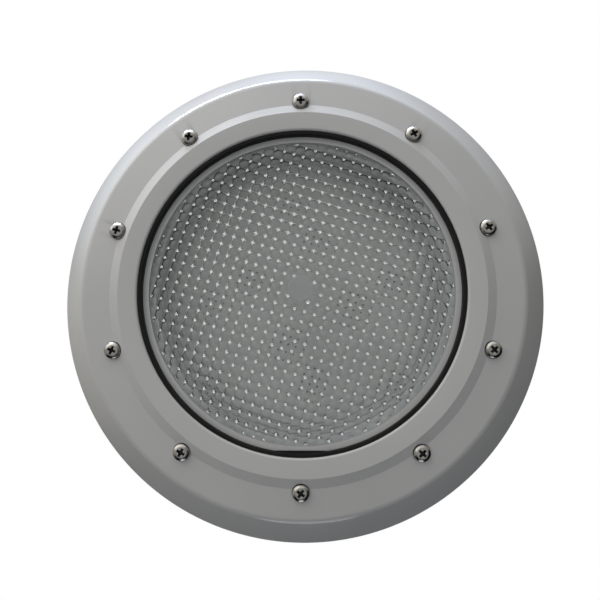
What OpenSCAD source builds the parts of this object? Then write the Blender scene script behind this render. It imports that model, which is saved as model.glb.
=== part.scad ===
/* [Trim ring] */
// Diameter across the skirt's rear edge
skirt_d = 280.8; // [280:0.2:290]
// Height of the screw land above the wall at the foot of the ramp
land_h = 20.9; // [20.6:0.1:22]
// Diameter of the clear opening in front of the lens
opening_d = 180.6; // [180:0.2:181.6]
// Wall thickness of the moulding
ring_wall = 2.6; // [2.2:0.1:2.8]

/* [Trim screws] */
// Number of screws that hold the trim ring
screw_count = 10; // [8:1:10]
// Diameter of the circle that the screws stand on
screw_circle_d = 219.4; // [219:0.2:220]
// Diameter of a screw head
screw_head_d = 9.5; // [9:0.1:10]
// Height of a screw head
screw_head_h = 3.4; // [3:0.1:3.8]

/* [Lamp] */
// Visible diameter of the lens inside its gasket
lens_d = 178; // [177:0.2:178.4]
// Height of the lens's crown over its rim
lens_crown = 6; // [4:0.5:8]
// Thickness of the lens
lens_wall = 2.6; // [2.4:0.1:3]
// Depth of the lamp's bowl behind the wall plane
bowl_depth = 66; // [62:1:70]
// Number of rings of LED packages
led_rings = 3; // [1:1:3]

/* [Rear housing] */
// Diameter of the part of the housing that locates in the wall
spigot_d = 189; // [188:0.2:189.6]
// Depth of the housing behind the wall plane
housing_depth = 104; // [103:1:120]
// Diameter of the housing's flange
flange_d = 256; // [254:0.5:257]
// Diameter of the circle of wall fixing holes
fixing_circle_d = 240; // [239:0.5:241]
// Diameter of a wall fixing hole
fixing_hole_d = 5.5; // [4.5:0.1:6]

/* [Cable gland] */
// Height of the gland over the housing's axis
gland_y = 60; // [56:1:62]
// Diameter of the cable that the gland takes
cable_d = 9; // [7:0.1:10]

/* [Hidden] */
$fn = 96;
smooth = 180;
eps = 0.01;
play = 0.05;
// How far a cutter reaches past the face that it opens
over = 1;

// Colours by material
trim_grey = [0.72, 0.73, 0.74];
housing_grey = [0.68, 0.69, 0.7];
lamp_white = [0.86, 0.87, 0.88];
rubber_black = [0.06, 0.06, 0.065];
nylon_black = [0.12, 0.12, 0.125];
epoxy_black = [0.1, 0.1, 0.1];
dark_plastic = [0.2, 0.2, 0.21];
steel = [0.62, 0.62, 0.63];
brass = [0.8, 0.62, 0.28];

// Every shape below is drawn facing +Z with the wall plane at z = 0, then turned to face -Y.

// Trim ring: radii and heights of its front profile
skirt_edge_h = 0.4;
skirt_face = 41.5;
land_face = 79.2;
shoulder_r = skirt_d / 2 - 15.2;
shoulder_h = land_h - 3.35;
shoulder_round = 6.8;
ramp_foot_r = 107.8;
ramp_top_r = 102.2;
ramp_top_h = land_h + 3.1;
lip_r = opening_d / 2;
lip_h = land_h + 3.7;
lip_round = 1.5;
lip_back_h = land_h + 0.4;
pocket_r = 95.4;
pocket_wall = 3;
pocket_back_h = 12.1;
web_h = land_h - 1;
ramp_inner_r = ramp_foot_r - 1.5;
shoulder_inner_r = shoulder_r - 2.6;

// Trim screws and their bosses
screw_r = screw_circle_d / 2;
screw_seat_h = land_h - 0.6;
screw_seat_gap = 0.35;
screw_shank_r = 2.4;
screw_shank_l = 15;
screw_hole_r = 2.75;
screw_turn = 47;
ring_boss_r = 5.5;
ring_boss_top_h = land_h - 1.5;
boss_split_h = 14;
boss_gap = 0.2;

// Lens and its gasket
lens_r = lens_d / 2;
lens_edge_r = 92.5;
lens_face_h = 19.4;
lens_flange_t = 2.8;
crown_r = (pow(lens_r, 2) + pow(lens_crown, 2)) / (2 * lens_crown);
gate_r = 6.8;
gate_h = 0.5;
gasket_r = 94.9;
gasket_rear_r = 87;
gasket_rear_h = 14;
gasket_front_h = lip_back_h - play;
gasket_lip_r = lip_r - 0.1;
gasket_lip_h = land_h + 2.1;
tab_l = 20;
tab_depth = 1.4;
tab_rise = 0.3;
tab_root = 0.8;

// Clamp ring behind the lens, and its screws
clamp_inner_r = 85.4;
clamp_outer_r = 103.6;
clamp_back_h = 9.1;
clamp_seat_h = clamp_back_h + 1.6;
clamp_screw_count = 5;
clamp_screw_circle_r = 100.2;
clamp_start = 108;
clamp_boss_r = 3.3;
clamp_boss_top_h = land_h - 0.4;
clamp_hole_l = 5;
clamp_screw_r = 1.45;
clamp_screw_l = 6;
clamp_head_r = 2.9;
clamp_head_h = 1.5;
clamp_head_gap = 0.2;

// Lamp shell
shell_wall = 2.4;
shell_mouth_r = 86;
shell_mouth_h = lens_face_h - lens_flange_t;
shell_mouth_depth = 1.4;
shell_r = 84.4;
shell_bore_r = shell_r - shell_wall;
bowl_r = 83;
bowl_steps = 14;
neck_r = 37;
bowl_floor_r = neck_r - 3;
neck_front = -bowl_depth + 1.5;
neck_back = -bowl_depth - 8;
neck_bore_r = 30;
neck_bore_front = -bowl_depth + 3;
ledge_h = -10;
ledge_t = 5;
ledge_inner_r = 73;
ledge_outer_r = 80.6;

// Heat spreader, LED board and what stands on it
spreader_r = 79.2;
spreader_t = 3.5;
spreader_lead_hole_r = 2;
fin_count = 12;
fin_t = 2;
fin_depth = 14;
fin_start_r = 42;
fin_l = 26;
board_r = 78.8;
board_t = 1.6;
board_back = ledge_h + spreader_t;
board_h = board_back + board_t;
board_hole_gap = 0.15;
board_screw_count = 4;
board_screw_start = 45;
board_screw_r = 1.45;
board_screw_l = 9;
board_screw_circle_r = 76.6;
board_head_r = 2.75;
board_head_h = 2;
led_size = 5;
led_t = 1.1;
led_pitch = 22;
led_inset = 2;
led_turn = 15;
regulator_count = 4;
regulator_size = 4.5;
regulator_t = 1.6;
regulator_start = 75;
regulator_turn = 22;
regulator_offset = 8.8;

// Driver board and its parts
driver_w = 64;
driver_l = 46;
driver_front = -22;
driver_back = driver_front - board_t;
driver_hole_r = 1.4;
spacer_x = 27;
spacer_y = 18;
spacer_r = 3;
spacer_bore_r = 1.3;
spacer_bore_l = 8;
driver_screw_r = 1.25;
driver_screw_l = 7;
driver_head_r = 2.4;
driver_head_h = 1.8;
capacitor_x = -21;
capacitor_y = 8;
capacitor_r = 6;
capacitor_l = 19;
capacitor_top_r = 5;
capacitor_top_l = 0.6;
inductor_x = 22;
inductor_core_r = 4;
inductor_flange_r = 7.5;
inductor_flange_t = 2;
inductor_winding_r = 6.8;
inductor_l = 11;
rectifier_size = [14, 6, 5];
rectifier_y = 13;
chip_size = [6, 5, 1.8];
chip_x = [-8, 1];
chip_y = -17;
lead_r = 0.9;
lead_x = 11;
lead_gap = 0.1;
lead_tip = 0.4;

// Rear cap and terminals
cap_seal_t = 0.8;
cap_seal_r = neck_r - 0.5;
cap_seal_bore_r = neck_bore_r + 0.2;
cap_t = 4;
cap_front = neck_back - cap_seal_t;
cap_back = cap_front - cap_t;
cap_plug_r = neck_bore_r - 0.3;
cap_plug_h = cap_front + 3;
cap_screw_count = 3;
cap_screw_circle_r = 41;
cap_screw_r = 1.45;
cap_screw_l = 10;
cap_head_r = 2.9;
cap_head_h = 2.2;
cap_hole_r = 1.6;
cap_ear_r = 4.5;
cap_ear_front = -bowl_depth + 4;
cap_ear_bore_l = 8;
post_r = 4.5;
post_l = 7;
post_neck_r = 2.5;
post_bore_r = 2;
post_bore_l = 6;
post_back = cap_back - post_l;
terminal_washer_r = 5;
terminal_washer_bore_r = 2.1;
terminal_washer_t = 1;
terminal_head_r = 4;
terminal_head_h = 2.6;
terminal_screw_r = 1.9;
terminal_screw_l = 6;

// Rear housing
floor_back = -housing_depth;
spigot_r = spigot_d / 2;
spigot_l = 18;
pot_r = spigot_r - 3;
pot_wall = 3.5;
pot_floor_t = 4;
pot_floor_h = floor_back + pot_floor_t;
pot_edge = 3;
rib_count = 12;
rib_t = 3;
rib_inner_r = pot_r - 2;
rib_l = 4.5;
flange_r = flange_d / 2;
flange_h = 7.5;
flange_edge = 1;
gasket_t = 1.5;
gasket_inset = 1;
gasket_bore_gap = 1.5;
fixing_count = 4;
fixing_start = 45;
seal_inner_r = 90.5;
seal_outer_r = 97.5;
seal_seat_h = 6;
seal_h = clamp_back_h - 0.1;
insert_r = 3.6;
insert_bore_r = 2.7;
insert_l = 10;

// Gland, from the housing floor backwards
gland_thread_r = 10;
gland_bore_r = 7.05;
gland_washer_r = 12.6;
gland_washer_t = 1.5;
gland_hex_af = 24;
gland_hex_t = 5.5;
gland_tail_l = 8;
gland_inner_l = 3;
locknut_af = 27;
locknut_t = 5;
gland_collar_front = floor_back - gland_washer_t;
gland_collar_back = gland_collar_front - gland_hex_t;
gland_tail_back = gland_collar_back - gland_tail_l;
gland_inner_front = pot_floor_h + locknut_t + gland_inner_l;
bush_front = floor_back - 4;
bush_l = 14;
bush_back = bush_front - bush_l;
nut_r = 12.6;
nut_front = gland_collar_back - 1.5;
nut_l = 14.5;
nut_round = 5;
nut_seat_gap = 1.5;
nut_hole_r = gland_bore_r - 0.6;
flute_count = 12;
flute_r = 2;
flute_circle_r = nut_r + 1.2;

// Points of an arc from angle a0 to a1
function arc(cx, cy, r, a0, a1, n) =
    [for (i = [0:n]) let(a = a0 + (a1 - a0) * i / n) [cx + r * cos(a), cy + r * sin(a)]];

// Points of the bowl's quarter ellipse, from its mouth to its floor
function bowl_outside(n) =
    [for (i = [0:n]) let(a = 90 * i / n)
        [bowl_floor_r + (bowl_r - bowl_floor_r) * cos(a), -bowl_depth * sin(a)]];

// The same curve moved inward by the wall, from floor to mouth
function bowl_inside(curve, steps) =
    [for (i = [steps - 1:-1:0]) curve[i] + [-shell_wall, shell_wall * i / steps]];

module face_front() {
    rotate([90, 0, 0]) children();
}

module ring(r_out, r_in, h0, h1) {
    rotate_extrude() translate([r_in, h0]) square([r_out - r_in, h1 - h0]);
}

module rod(r, h0, h1) {
    translate([0, 0, h0]) cylinder(r = r, h = h1 - h0);
}

module hexagon(af, h0, h1) {
    translate([0, 0, h0]) cylinder(d = af / cos(30), h = h1 - h0, $fn = 6);
}

module around(count, r, start = 90) {
    for (i = [0:count - 1]) rotate(start + 360 * i / count) translate([r, 0, 0]) children();
}

module at_clamp_screws() {
    around(clamp_screw_count, clamp_screw_circle_r, clamp_start) children();
}

module at_board_screws() {
    around(board_screw_count, board_screw_circle_r, board_screw_start) children();
}

module at_cap_screws() {
    around(cap_screw_count, cap_screw_circle_r) children();
}

module at_fixings() {
    around(fixing_count, fixing_circle_d / 2, fixing_start) children();
}

module at_leads() {
    for (side = [-1, 1]) translate([side * lead_x, 0, 0]) children();
}

module at_driver_corners() {
    for (sx = [-1, 1], sy = [-1, 1]) translate([sx * spacer_x, sy * spacer_y, 0]) children();
}

module at_gland() {
    face_front() translate([0, gland_y, 0]) children();
}

// A small pan head with a rounded top edge, its seat at z = 0
module pan_head(r, h) {
    edge = h * 0.55;
    rotate_extrude() polygon(concat([[0, 0], [r, 0]], arc(r - edge, h - edge, edge, 0, 60, 4), [[0, h]]));
}

// A cross recess, its mouth at z = 0
module cross_recess(w, t, depth) {
    translate([-w / 2, -t / 2, -depth]) cube([w, t, depth + over]);
    translate([-t / 2, -w / 2, -depth]) cube([t, w, depth + over]);
}

// A screw that points backwards, its head's seat at z = 0
module pan_screw(head_r, head_h, shank_r, shank_l) {
    recess_w = head_r * 1.05;
    recess_t = head_r * 0.22;
    recess_depth = head_h * 0.55;
    difference() {
        union() {
            pan_head(head_r, head_h);
            rod(shank_r, -shank_l, eps);
        }
        translate([0, 0, head_h]) cross_recess(recess_w, recess_t, recess_depth);
    }
}

// ---- Light unit ----

// Section of the trim ring. The shoulder is an arc that meets skirt and land in line.
module ring_profile() {
    reach = shoulder_round * tan((land_face - skirt_face) / 2);
    shoulder_x = shoulder_r + reach * sin(skirt_face) - shoulder_round * cos(skirt_face);
    shoulder_y = shoulder_h - reach * cos(skirt_face) - shoulder_round * sin(skirt_face);
    skirt_in = ring_wall / cos(skirt_face);
    polygon(concat(
        [[skirt_d / 2, skirt_edge_h]],
        arc(shoulder_x, shoulder_y, shoulder_round, skirt_face, land_face, 6),
        [[ramp_foot_r, land_h], [ramp_top_r, ramp_top_h]],
        arc(lip_r + lip_round, lip_h - lip_round, lip_round, 86, 180, 8),
        [[lip_r, lip_back_h], [pocket_r, lip_back_h], [pocket_r, pocket_back_h],
         [pocket_r + pocket_wall, pocket_back_h], [pocket_r + pocket_wall, web_h],
         [ramp_inner_r, land_h - skirt_in], [shoulder_inner_r, shoulder_h - ring_wall],
         [skirt_d / 2 - skirt_in, skirt_edge_h]]));
}

module trim_ring() {
    front = lip_h + over;
    color(trim_grey) face_front() difference() {
        union() {
            rotate_extrude($fn = smooth) ring_profile();
            around(screw_count, screw_r) rod(ring_boss_r, boss_split_h + boss_gap, ring_boss_top_h);
            at_clamp_screws() rod(clamp_boss_r, pocket_back_h + boss_gap, clamp_boss_top_h);
        }
        around(screw_count, screw_r) rod(screw_hole_r, boss_split_h - over, front);
        around(screw_count, screw_r) rod(screw_head_d / 2 + screw_seat_gap, screw_seat_h, front);
        at_clamp_screws() rod(clamp_screw_r + play, pocket_back_h - over, pocket_back_h + clamp_hole_l);
    }
}

module trim_screws() {
    color(steel) face_front() for (i = [0:screw_count - 1])
        rotate(90 + 360 * i / screw_count) translate([screw_r, 0, screw_seat_h]) rotate(screw_turn * i)
            pan_screw(screw_head_d / 2, screw_head_h, screw_shank_r, screw_shank_l);
}

// Channel round the edges of lens and shell, with a lip in the opening and a tab at the bottom
module lens_gasket() {
    color(rubber_black) face_front() {
        rotate_extrude() polygon([[lens_r, lens_face_h], [lens_r, gasket_lip_h],
            [gasket_lip_r, gasket_lip_h], [gasket_lip_r, gasket_front_h],
            [gasket_r, gasket_front_h], [gasket_r, pocket_back_h],
            [gasket_rear_r, pocket_back_h], [gasket_rear_r, gasket_rear_h],
            [lens_edge_r, gasket_rear_h], [lens_edge_r, lens_face_h]]);
        intersection() {
            ring(lens_r + tab_root, lens_r - tab_depth, lens_face_h + tab_rise, gasket_front_h);
            translate([-tab_l / 2, -lens_r - over, 0]) cube([tab_l, tab_l / 2, lip_h]);
        }
    }
}

// Clear cover: a shallow dome with a flat rim, and a moulding mark at its centre
module lamp_lens() {
    crown_h = lens_face_h + lens_crown;
    rim_turn = asin(lens_r / crown_r);
    gate_turn = asin(gate_r / crown_r);
    inner_r = crown_r - lens_wall;
    inner_flat_h = crown_h - crown_r + inner_r * cos(gate_turn);
    color([0.8, 0.84, 0.86, 0.5]) face_front() rotate_extrude($fn = smooth) polygon(concat(
        [[lens_edge_r, lens_face_h - lens_flange_t], [lens_edge_r, lens_face_h]],
        arc(0, crown_h - crown_r, crown_r, 90 - rim_turn, 90 - gate_turn, 16),
        [[gate_r, crown_h + gate_h], [0, crown_h + gate_h], [0, inner_flat_h]],
        arc(0, crown_h - crown_r, inner_r, 90 - gate_turn, 90 - rim_turn, 16)));
}

module clamp_ring() {
    color(dark_plastic) face_front() difference() {
        ring(clamp_outer_r, clamp_inner_r, clamp_back_h, pocket_back_h);
        at_clamp_screws() rod(clamp_screw_r + play, clamp_back_h - over, pocket_back_h + over);
        at_clamp_screws() rod(clamp_head_r + clamp_head_gap, clamp_back_h - over, clamp_seat_h);
    }
}

module clamp_screws() {
    color(steel) face_front() at_clamp_screws() translate([0, 0, clamp_seat_h]) mirror([0, 0, 1])
        pan_screw(clamp_head_r, clamp_head_h, clamp_screw_r, clamp_screw_l);
}

module lamp_shell() {
    bowl = bowl_outside(bowl_steps);
    mouth_floor_h = shell_mouth_h - shell_mouth_depth;
    color(lamp_white) face_front() difference() {
        union() {
            rotate_extrude() polygon(concat(
                [[lens_edge_r, shell_mouth_h], [lens_edge_r, gasket_rear_h], [shell_r, gasket_rear_h]],
                bowl,
                [[neck_r, neck_front], [neck_r, neck_back], [neck_bore_r, neck_back],
                 [neck_bore_r, neck_bore_front]],
                bowl_inside(bowl, bowl_steps),
                [[shell_bore_r, gasket_rear_h], [shell_bore_r, mouth_floor_h],
                 [shell_mouth_r, mouth_floor_h], [shell_mouth_r, shell_mouth_h]]));
            ring(ledge_outer_r, ledge_inner_r, ledge_h - ledge_t, ledge_h);
            at_cap_screws() rod(cap_ear_r, neck_back, cap_ear_front);
        }
        at_board_screws() rod(board_screw_r + play, ledge_h - ledge_t - over, ledge_h + over);
        at_cap_screws() rod(cap_screw_r + play, neck_back - over, neck_back + cap_ear_bore_l);
    }
}

module led_board() {
    color([0.93, 0.93, 0.92]) face_front() difference() {
        rod(board_r, board_back, board_h);
        at_board_screws() rod(board_screw_r + board_hole_gap, board_back - over, board_h + over);
        at_leads() rod(lead_r + lead_gap, board_back - over, board_h + over);
    }
}

// Packages in rings of 6, 12 and 18
module led_chips() {
    color([0.95, 0.86, 0.45]) face_front() for (k = [1:led_rings])
        around(6 * k, led_pitch * k - led_inset, 90 + led_turn * k)
            translate([-led_size / 2, -led_size / 2, board_h]) cube([led_size, led_size, led_t]);
}

// Packages between the inner rings of LEDs and between the outer ones
module current_regulators() {
    color(epoxy_black) face_front() for (k = [1, 2])
        around(regulator_count, led_pitch * k + regulator_offset, regulator_start + regulator_turn * (k - 1))
            translate([-regulator_size / 2, -regulator_size / 2, board_h])
                cube([regulator_size, regulator_size, regulator_t]);
}

module board_screws() {
    color(steel) face_front() at_board_screws() translate([0, 0, board_h])
        pan_screw(board_head_r, board_head_h, board_screw_r, board_screw_l);
}

module heat_spreader() {
    color([0.75, 0.76, 0.77]) face_front() difference() {
        union() {
            rod(spreader_r, ledge_h, board_back);
            for (i = [0:fin_count - 1]) rotate(360 * (i + 0.5) / fin_count)
                translate([fin_start_r, -fin_t / 2, ledge_h - fin_depth])
                    cube([fin_l, fin_t, fin_depth + over]);
        }
        at_board_screws() rod(board_screw_r + board_hole_gap, ledge_h - over, board_h);
        at_leads() rod(spreader_lead_hole_r, ledge_h - over, board_h);
    }
}

module driver_spacers() {
    color([0.8, 0.66, 0.32]) face_front() at_driver_corners() difference() {
        rod(spacer_r, driver_front, ledge_h);
        rod(spacer_bore_r, driver_front - over, driver_front + spacer_bore_l);
    }
}

module driver_board() {
    color([0.1, 0.35, 0.2]) face_front() difference() {
        translate([-driver_w / 2, -driver_l / 2, driver_back]) cube([driver_w, driver_l, board_t]);
        at_driver_corners() rod(driver_hole_r, driver_back - over, driver_front + over);
        at_leads() rod(lead_r + lead_gap, driver_back - over, driver_front + over);
    }
}

module driver_screws() {
    color(steel) face_front() at_driver_corners() translate([0, 0, driver_back]) mirror([0, 0, 1])
        pan_screw(driver_head_r, driver_head_h, driver_screw_r, driver_screw_l);
}

module filter_capacitors() {
    can_back = driver_back - capacitor_l;
    color([0.12, 0.14, 0.3]) face_front() for (side = [-1, 1])
        translate([capacitor_x, side * capacitor_y, 0]) union() {
            rod(capacitor_r, can_back, driver_back);
            rod(capacitor_top_r, can_back - capacitor_top_l, can_back + over);
        }
}

// A drum core and the winding in its waist
module power_inductor() {
    upper = inductor_l - inductor_flange_t;
    face_front() translate([inductor_x, 0, driver_back - inductor_l]) {
        color([0.25, 0.25, 0.27]) union() {
            rod(inductor_core_r, 0, inductor_l);
            rod(inductor_flange_r, 0, inductor_flange_t);
            rod(inductor_flange_r, upper, inductor_l);
        }
        color([0.7, 0.4, 0.2])
            ring(inductor_winding_r, inductor_core_r + play, inductor_flange_t + play, upper - play);
    }
}

module bridge_rectifier() {
    color(epoxy_black) face_front()
        translate([-rectifier_size.x / 2, rectifier_y, driver_back - rectifier_size.z]) cube(rectifier_size);
}

module driver_chips() {
    color(epoxy_black) face_front() for (x = chip_x)
        translate([x, chip_y, driver_back - chip_size.z]) cube(chip_size);
}

module board_leads() {
    color([0.75, 0.12, 0.1]) face_front() at_leads() rod(lead_r, driver_front + play, board_h + lead_tip);
}

module supply_leads() {
    color([0.3, 0.3, 0.32]) face_front() at_leads() rod(lead_r, cap_plug_h + play, driver_front);
}

module rear_cap() {
    color(dark_plastic) face_front() difference() {
        union() {
            rod(neck_r, cap_back, cap_front);
            rod(cap_plug_r, cap_front - eps, cap_plug_h);
            at_cap_screws() rod(cap_ear_r, cap_back, cap_front);
        }
        at_cap_screws() rod(cap_hole_r, cap_back - over, cap_front + over);
        at_leads() rod(post_neck_r, cap_back - over, cap_plug_h + over);
    }
}

module cap_seal() {
    color(rubber_black) face_front() ring(cap_seal_r, cap_seal_bore_r, cap_front, neck_back);
}

module cap_screws() {
    color(steel) face_front() at_cap_screws() translate([0, 0, cap_back]) mirror([0, 0, 1])
        pan_screw(cap_head_r, cap_head_h, cap_screw_r, cap_screw_l);
}

module terminal_posts() {
    color(brass) face_front() at_leads() difference() {
        union() {
            rod(post_r, post_back, cap_back);
            rod(post_neck_r - play, cap_back - eps, cap_plug_h);
        }
        rod(post_bore_r, post_back - over, post_back + post_bore_l);
    }
}

module terminal_washers() {
    color(brass) face_front() at_leads()
        ring(terminal_washer_r, terminal_washer_bore_r, post_back - terminal_washer_t, post_back);
}

module terminal_screws() {
    color(brass) face_front() at_leads() translate([0, 0, post_back - terminal_washer_t]) mirror([0, 0, 1])
        pan_screw(terminal_head_r, terminal_head_h, terminal_screw_r, terminal_screw_l);
}

// ---- Wall housing ----

module rear_housing() {
    pot_in = pot_r - pot_wall;
    rib_h = -spigot_l + over - floor_back;
    color(housing_grey) face_front() difference() {
        union() {
            rotate_extrude($fn = smooth) polygon([
                [0, floor_back], [pot_r - pot_edge, floor_back], [pot_r, floor_back + pot_edge],
                [pot_r, -spigot_l], [spigot_r, -spigot_l], [spigot_r, gasket_t], [flange_r, gasket_t],
                [flange_r, flange_h - flange_edge], [flange_r - flange_edge, flange_h],
                [seal_outer_r, flange_h], [seal_outer_r, seal_seat_h],
                [seal_inner_r, seal_seat_h], [seal_inner_r, flange_h],
                [pot_in, flange_h], [pot_in, pot_floor_h], [0, pot_floor_h]]);
            around(screw_count, screw_r) rod(ring_boss_r, flange_h - over, boss_split_h);
            for (i = [0:rib_count - 1]) rotate(360 * (i + 0.5) / rib_count)
                translate([rib_inner_r, -rib_t / 2, floor_back]) cube([rib_l, rib_t, rib_h]);
        }
        around(screw_count, screw_r) rod(insert_r, boss_split_h - insert_l, boss_split_h + over);
        at_fixings() rod(fixing_hole_d / 2, 0, flange_h + over);
        translate([0, gland_y, 0]) rod(gland_thread_r + play, floor_back - over, pot_floor_h + over);
    }
}

module thread_inserts() {
    color(brass) face_front() around(screw_count, screw_r)
        ring(insert_r, insert_bore_r, boss_split_h - insert_l, boss_split_h);
}

module housing_seal() {
    color(rubber_black) face_front() ring(seal_outer_r - play, seal_inner_r + play, seal_seat_h, seal_h);
}

module wall_gasket() {
    color(rubber_black) face_front() difference() {
        ring(flange_r - gasket_inset, spigot_r + gasket_bore_gap, 0, gasket_t);
        at_fixings() rod(fixing_hole_d / 2, -over, gasket_t + over);
    }
}

module gland_body() {
    color(nylon_black) at_gland() difference() {
        union() {
            rod(gland_thread_r, gland_collar_back + eps, gland_inner_front);
            hexagon(gland_hex_af, gland_collar_back, gland_collar_front);
            rod(gland_thread_r, gland_tail_back, gland_collar_back + over);
        }
        rod(gland_bore_r, gland_tail_back - over, gland_inner_front + over);
    }
}

module gland_washer() {
    color(rubber_black) at_gland()
        ring(gland_washer_r, gland_thread_r + play, gland_collar_front, floor_back);
}

module gland_locknut() {
    color(nylon_black) at_gland() difference() {
        hexagon(locknut_af, pot_floor_h, pot_floor_h + locknut_t);
        rod(gland_thread_r + play, pot_floor_h - over, pot_floor_h + locknut_t + over);
    }
}

module gland_bush() {
    color(rubber_black) at_gland() ring(gland_bore_r - play, cable_d / 2, bush_back, bush_front);
}

module gland_nut() {
    nut_back = nut_front - nut_l;
    round_h = nut_back + nut_round;
    color(nylon_black) at_gland() difference() {
        rotate_extrude() polygon(concat([[0, nut_front], [nut_r, nut_front], [nut_r, round_h]],
            arc(nut_r - nut_round, round_h, nut_round, 0, -90, 6), [[0, nut_back]]));
        rod(gland_thread_r + play, bush_back - nut_seat_gap, nut_front + over);
        rod(nut_hole_r, nut_back - over, nut_front);
        around(flute_count, flute_circle_r, 0) rod(flute_r, round_h + over, nut_front + over);
    }
}

rear_housing();
thread_inserts();
housing_seal();
wall_gasket();
gland_body();
gland_washer();
gland_locknut();
gland_bush();
gland_nut();
trim_ring();
trim_screws();
lens_gasket();
lamp_lens();
clamp_ring();
clamp_screws();
lamp_shell();
led_board();
led_chips();
current_regulators();
board_screws();
heat_spreader();
driver_spacers();
driver_board();
driver_screws();
filter_capacitors();
power_inductor();
bridge_rectifier();
driver_chips();
board_leads();
supply_leads();
rear_cap();
cap_seal();
cap_screws();
terminal_posts();
terminal_washers();
terminal_screws();
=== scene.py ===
import math

import bmesh
import bpy
import numpy as np
from mathutils import Matrix, Vector

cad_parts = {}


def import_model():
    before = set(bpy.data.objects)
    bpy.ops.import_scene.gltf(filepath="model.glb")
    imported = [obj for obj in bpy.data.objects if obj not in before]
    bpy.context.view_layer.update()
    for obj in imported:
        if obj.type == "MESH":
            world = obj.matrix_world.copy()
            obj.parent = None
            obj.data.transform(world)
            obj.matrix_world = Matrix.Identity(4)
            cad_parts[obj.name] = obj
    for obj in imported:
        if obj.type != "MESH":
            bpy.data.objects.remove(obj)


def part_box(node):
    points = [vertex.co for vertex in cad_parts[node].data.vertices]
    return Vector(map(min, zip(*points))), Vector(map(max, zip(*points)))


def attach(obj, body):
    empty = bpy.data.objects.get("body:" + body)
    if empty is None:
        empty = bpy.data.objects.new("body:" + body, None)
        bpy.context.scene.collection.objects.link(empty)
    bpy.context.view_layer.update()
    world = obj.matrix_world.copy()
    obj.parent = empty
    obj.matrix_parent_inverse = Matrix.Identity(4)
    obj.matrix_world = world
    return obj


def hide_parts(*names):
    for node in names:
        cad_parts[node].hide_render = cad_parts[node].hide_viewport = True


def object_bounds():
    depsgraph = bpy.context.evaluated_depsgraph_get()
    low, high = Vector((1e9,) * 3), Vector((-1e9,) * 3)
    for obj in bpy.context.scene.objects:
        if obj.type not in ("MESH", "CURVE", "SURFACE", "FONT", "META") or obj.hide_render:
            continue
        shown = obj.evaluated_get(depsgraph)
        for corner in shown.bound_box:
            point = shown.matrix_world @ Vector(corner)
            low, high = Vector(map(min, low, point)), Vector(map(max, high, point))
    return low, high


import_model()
cad_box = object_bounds()

# Shapes are built in millimetres, facing +Z, with the wall plane at height 0.
# A finished piece is turned to face -Y and brought to metres.
MM = 0.001
FACE_FRONT = Matrix.Rotation(math.radians(90), 4, "X") @ Matrix.Scale(MM, 4)
RING_STEPS = 576
PART_STEPS = 192
SMALL_STEPS = 48
ARC_STEPS = 6
SHARP = math.radians(32)


# ---- Shapes ----

def reach(node):
    """Outer radius, rear height and front height of a turned node, in millimetres."""
    low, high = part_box(node)
    return (high.x - low.x) / 2 / MM, -high.y / MM, -low.y / MM


def new_object(name, mesh):
    thing = bpy.data.objects.new(name, mesh)
    bpy.context.scene.collection.objects.link(thing)
    return thing


def mesh_of(bm, name="shape"):
    bmesh.ops.recalc_face_normals(bm, faces=bm.faces)
    mesh = bpy.data.meshes.new(name)
    bm.to_mesh(mesh)
    bm.free()
    return mesh


def rounded(corners, steps=ARC_STEPS):
    """A closed outline through (r, h) corners; a third number in a corner rounds it with that radius."""
    points = []
    for i, corner in enumerate(corners):
        here = Vector(corner[:2])
        if len(corner) < 3:
            points.append(here)
            continue
        before = (Vector(corners[i - 1][:2]) - here).normalized()
        after = (Vector(corners[(i + 1) % len(corners)][:2]) - here).normalized()
        half = before.angle(after) / 2
        centre = here + (before + after).normalized() * corner[2] / math.sin(half)
        start = here + before * corner[2] / math.tan(half) - centre
        turn = Vector(start).angle_signed(here + after * corner[2] / math.tan(half) - centre)
        for k in range(steps + 1):
            points.append(centre + Matrix.Rotation(-turn * k / steps, 2) @ start)
    return points


def arc(centre, radius, start, end, steps):
    """Points of an arc, its angles in degrees."""
    angles = [math.radians(start + (end - start) * k / steps) for k in range(steps + 1)]
    return [(centre[0] + radius * math.cos(a), centre[1] + radius * math.sin(a)) for a in angles]


def lathe(outline, steps=PART_STEPS, centre=(0, 0), phase=0.0):
    """The solid that a closed (r, h) outline sweeps round an upright axis."""
    bm = bmesh.new()
    rows = []
    for k in range(steps):
        a = 2 * math.pi * (k + phase) / steps
        c, s = math.cos(a), math.sin(a)
        rows.append([bm.verts.new((centre[0] + p[0] * c, centre[1] + p[0] * s, p[1])) for p in outline])
    count = len(outline)
    for k in range(steps):
        here, there = rows[k], rows[(k + 1) % steps]
        for i in range(count):
            j = (i + 1) % count
            if outline[i][0] > 1e-6 or outline[j][0] > 1e-6:
                bm.faces.new((here[i], here[j], there[j], there[i]))
    bmesh.ops.remove_doubles(bm, verts=bm.verts, dist=1e-5)
    return mesh_of(bm)


def rod(radius, low, high, edge=0.0, steps=SMALL_STEPS, centre=(0, 0)):
    """An upright cylinder with its two rims broken by a small round."""
    rims = (edge,) if edge else ()
    corners = [(0, low), (radius, low) + rims, (radius, high) + rims, (0, high)]
    return lathe(rounded(corners, 3), steps, centre)


def block(size, centre, edge=0.0):
    """A box with bevelled edges, from its size and its centre."""
    bm = bmesh.new()
    bmesh.ops.create_cube(bm, size=1)
    bmesh.ops.scale(bm, vec=size, verts=bm.verts)
    bmesh.ops.translate(bm, vec=centre, verts=bm.verts)
    if edge:
        bmesh.ops.bevel(bm, geom=bm.edges, offset=edge, segments=2, affect="EDGES", profile=0.5)
    return mesh_of(bm)


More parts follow.
